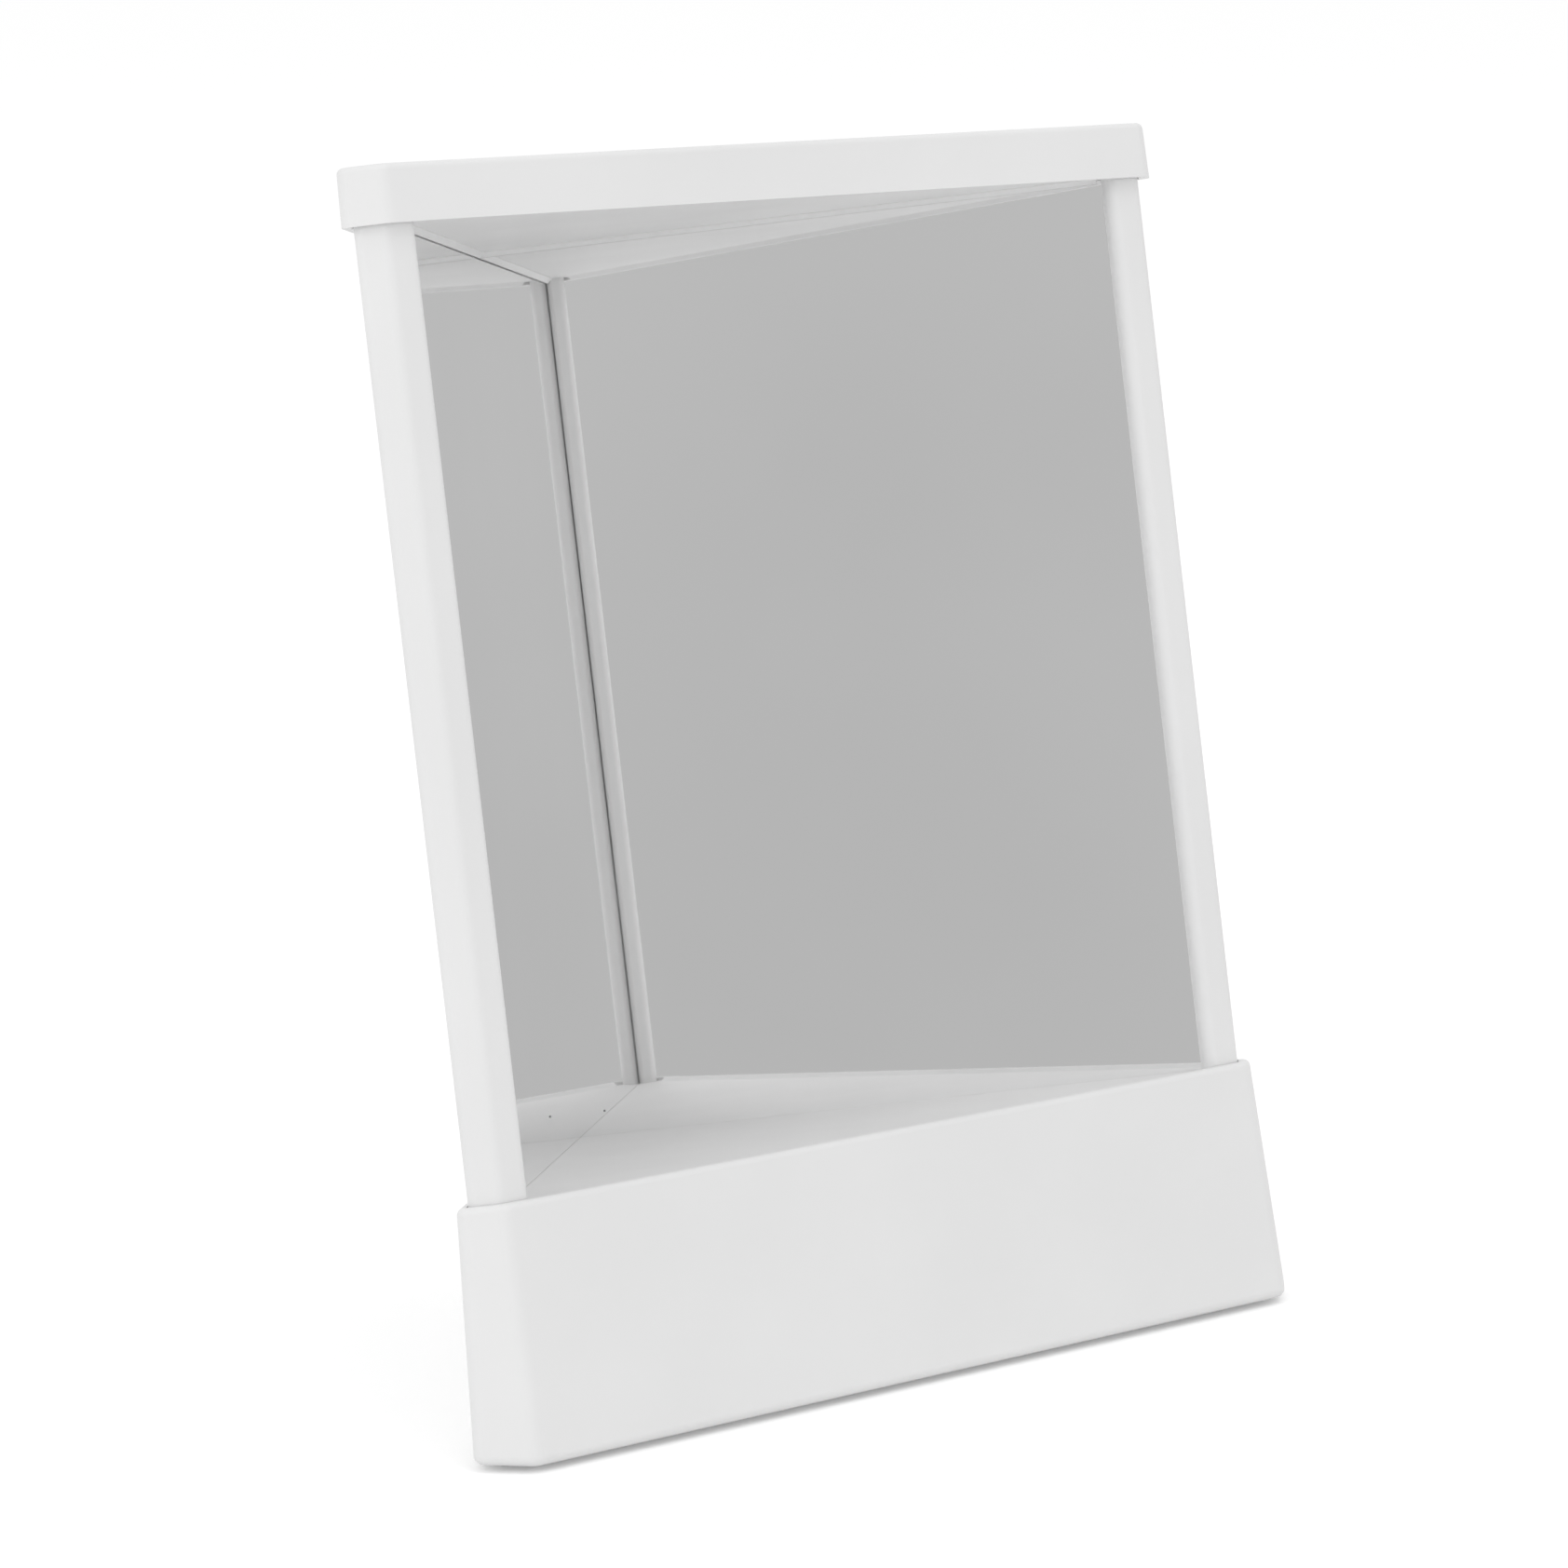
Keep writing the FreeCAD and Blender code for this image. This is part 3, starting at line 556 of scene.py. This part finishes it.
def screwPlaces(node, drive):
    # Head end, tip end and width of each separate screw in a node, told apart by their place along X
    groups = {}
    for vertex in nodes[node].data.vertices:
        key = round(vertex.co.x / screwSpacing)
        groups.setdefault(key, []).append(vertex.co)
    found = []
    for points in groups.values():
        low = Vector(map(min, zip(*points)))
        high = Vector(map(max, zip(*points)))
        heights = [point.dot(drive) for point in points]
        centre = (low + high) / 2
        onAxis = centre - drive * centre.dot(drive)
        found.append((onAxis + drive * min(heights), max(heights) - min(heights), high.x - low.x))
    return found


screwTree = buildScrewTree()


def makeScrews(node, name):
    values = screwSets[node]
    drive = values["drive"]
    places = screwPlaces(node, drive)
    _, length, width = places[0]
    seats = [start + drive * values["head"] for start, _, _ in places]
    mesh = bpy.data.meshes.new(name + "_points")
    mesh.from_pydata(seats, [], [])
    holder = bpy.data.objects.new(name + "_points", mesh)
    bpy.context.scene.collection.objects.link(holder)
    modifier = holder.modifiers.new("screws", "NODES")
    modifier.node_group = screwTree
    setInputs(modifier, {
        "Head Diameter": width,
        "Head Height": values["head"],
        "Shank Diameter": values["shank"],
        "Shank Length": length - values["head"],
        "Thread Pitch": values["pitch"],
        "Core Diameter": values["shank"] * screwShape["core"],
        "Recess Span": width * screwShape["recessSpan"],
        "Recess Width": width * screwShape["recessWidth"],
        "Recess Depth": values["head"] * screwShape["recessDepth"] * 2,
        "Drive": drive,
        "Spin Seed": len(name),
        "Finish": screwFinish,
    })
    evaluated = holder.evaluated_get(bpy.context.evaluated_depsgraph_get())
    plain = bpy.data.meshes.new_from_object(evaluated)
    holder.modifiers.clear()
    bpy.data.objects.remove(holder)
    finishPiece(plain, name, screwFinish, "screw_steel", node)
    print(f"screws: {name}, {len(places)} of {length * 1000:.1f} mm, {len(plain.polygons)} faces")


for node in screwSets:
    makeScrews(node, "cross_" + node)


# Stage: pale floor, soft light, and a plain wall behind the viewer for the mirrors to show
stage = {
    "floorRadius": 9.0,
    "floorSides": 96,
    "floorWhite": 0.90,
    "floorLift": 0.22,
    "skyLight": 0.855,
    "wallRadius": 2.6,
    "wallHeight": 3.2,
    "wallSteps": 48,
    "wallGrey": 0.508,
    "wallBlur": {"Scale": 2.2, "Detail": 1.0},
    "wallWash": (0.3, 0.7, 0.97, 1.025),
    "wallRise": (0.45, 0.68, 1.0, 1.05),
    "lamps": {
        "soft_key": {"place": (-2.2, -0.6, 1.1), "size": 1.6, "power": 10.0},
        "soft_fill": {"place": (0.4, -0.95, 2.6), "size": 1.8, "power": 8.5},
    },
}


def seenDirectly(tree):
    # One for what is looked at straight, in a reflection or through glass
    path = addNode(tree, "ShaderNodeLightPath").outputs
    looked = doMath(tree, "MAXIMUM", path["Is Camera Ray"], path["Is Glossy Ray"])
    return doMath(tree, "MAXIMUM", looked, path["Is Transmission Ray"])


def makeFloor():
    shape = bmesh.new()
    bmesh.ops.create_circle(shape, cap_ends=True, segments=stage["floorSides"], radius=stage["floorRadius"])
    mesh = bpy.data.meshes.new("studio_floor")
    shape.to_mesh(mesh)
    shape.free()
    material = bpy.data.materials.new("studioFloor")
    material.use_nodes = True
    tree = material.node_tree
    tree.nodes.clear()
    paint = addNode(tree, "ShaderNodeBsdfDiffuse", {"Color": grey(stage["floorWhite"])})
    lift = doMath(tree, "MULTIPLY", seenDirectly(tree), stage["floorLift"])
    glow = addNode(tree, "ShaderNodeEmission", {"Strength": lift})
    both = addNode(tree, "ShaderNodeAddShader")
    tree.links.new(paint.outputs[0], both.inputs[0])
    tree.links.new(glow.outputs[0], both.inputs[1])
    addNode(tree, "ShaderNodeOutputMaterial", {"Surface": both.outputs[0]})
    mesh.materials.append(material)
    floor = bpy.data.objects.new("studio_floor", mesh)
    bpy.context.scene.collection.objects.link(floor)


def makeWall():
    # Half round the front, seen only in the mirrors. Light that reaches the plastic by way of the
    # mirrors has the sky's level instead of the wall's.
    shape = bmesh.new()
    rows = []
    for step in range(stage["wallSteps"] + 1):
        angle = math.radians(180 + 180 * step / stage["wallSteps"])
        x, y = stage["wallRadius"] * math.cos(angle), stage["wallRadius"] * math.sin(angle)
        rows.append([shape.verts.new((x, y, height)) for height in (0, stage["wallHeight"])])
    for one, two in zip(rows, rows[1:]):
        shape.faces.new((one[0], two[0], two[1], one[1]))
    mesh = bpy.data.meshes.new("studio_wall")
    shape.to_mesh(mesh)
    shape.free()
    material = bpy.data.materials.new("studioWall")
    material.use_nodes = True
    tree = material.node_tree
    tree.nodes.clear()
    place = addNode(tree, "ShaderNodeTexCoord").outputs["Object"]
    blur = addNode(tree, "ShaderNodeTexNoise", {"Vector": place, **stage["wallBlur"]}).outputs[0]
    height = addNode(tree, "ShaderNodeSeparateXYZ", {"Vector": place}).outputs["Z"]
    wash = doMath(tree, "MULTIPLY", mapRange(tree, blur, *stage["wallWash"]),
                  mapRange(tree, height, *stage["wallRise"], True))
    level = doMath(tree, "MULTIPLY", wash, stage["wallGrey"])
    bounced = doMath(tree, "GREATER_THAN", addNode(tree, "ShaderNodeLightPath").outputs["Diffuse Depth"], 0.5)
    strength = addNode(tree, "ShaderNodeMix", {0: bounced, 2: level, 3: stage["skyLight"]}).outputs[0]
    colour = addNode(tree, "ShaderNodeEmission", {"Strength": strength})
    addNode(tree, "ShaderNodeOutputMaterial", {"Surface": colour.outputs[0]})
    mesh.materials.append(material)
    wall = bpy.data.objects.new("studio_wall", mesh)
    bpy.context.scene.collection.objects.link(wall)
    wall.visible_camera = False
    wall.visible_diffuse = False
    wall.visible_shadow = False


def makeLight():
    world = bpy.data.worlds.new("studio")
    bpy.context.scene.world = world
    world.use_nodes = True
    tree = world.node_tree
    backdrop = tree.nodes["Background"]
    backdrop.inputs["Color"].default_value = grey(1.0)
    level = mapRange(tree, seenDirectly(tree), 0, 1, stage["skyLight"], 1.0)
    tree.links.new(level, backdrop.inputs["Strength"])
    target = (cadLow + cadHigh) / 2
    for name, values in stage["lamps"].items():
        light = bpy.data.lights.new(name, "AREA")
        light.shape = "SQUARE"
        light.size = values["size"]
        light.energy = values["power"]
        lamp = bpy.data.objects.new(name, light)
        lamp.location = values["place"]
        lamp.rotation_euler = (target - lamp.location).to_track_quat("-Z", "Y").to_euler()
        bpy.context.scene.collection.objects.link(lamp)


makeFloor()
makeWall()
makeLight()
print("stage: floor, wall, light")


# Camera at the photograph's place
viewpoint = {"place": (-0.6630, -0.7807, 0.2576), "turn": (80.70, 0.0, -41.32), "lens": 144.17}
lens = bpy.data.cameras.new("viewpoint")
lens.lens = viewpoint["lens"]
camera = bpy.data.objects.new("viewpoint", lens)
camera.location = viewpoint["place"]
camera.rotation_euler = [math.radians(angle) for angle in viewpoint["turn"]]
bpy.context.scene.collection.objects.link(camera)
bpy.context.scene.camera = camera
bpy.context.scene.view_settings.view_transform = "Standard"
